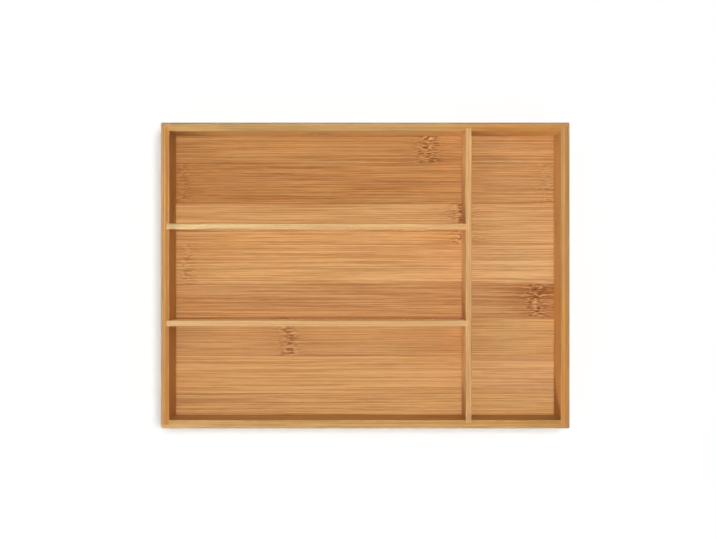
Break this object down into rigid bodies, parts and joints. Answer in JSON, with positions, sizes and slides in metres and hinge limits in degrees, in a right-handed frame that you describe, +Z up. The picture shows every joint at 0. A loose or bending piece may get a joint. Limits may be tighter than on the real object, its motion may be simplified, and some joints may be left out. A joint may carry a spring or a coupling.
{
  "type": "cutlery tray",
  "caption": "Shallow open bamboo tray for cutlery: long bays one behind the other, and a bay across the right end.",
  "frame": {"origin": "centre of the tray's footprint, on the surface that it stands on", "axes": "+X along the tray's length, towards the end with the cross bay; +Y from the front to the back; +Z up"},
  "size_m": [0.35, 0.262, 0.05],
  "materials": {
    "wall_bamboo": "laminated bamboo board, golden tan, sanded and oiled",
    "divider_bamboo": "thin bamboo board, pale honey, sanded and oiled",
    "base_bamboo": "flat-sawn bamboo planks glued edge to edge, warm tan with darker nodes, sanded and oiled"
  },
  "bodies": {
    "root": {"left_wall": "wall_bamboo", "right_wall": "wall_bamboo", "front_wall": "wall_bamboo", "back_wall": "wall_bamboo", "long_divider": "divider_bamboo", "back_cross_divider": "divider_bamboo", "front_cross_divider": "divider_bamboo", "base_plank_1": "base_bamboo", "base_plank_2": "base_bamboo", "base_plank_3": "base_bamboo", "base_plank_4": "base_bamboo", "base_plank_5": "base_bamboo", "base_plank_6": "base_bamboo", "base_plank_7": "base_bamboo", "base_plank_8": "base_bamboo"}
  },
  "joints": []
}
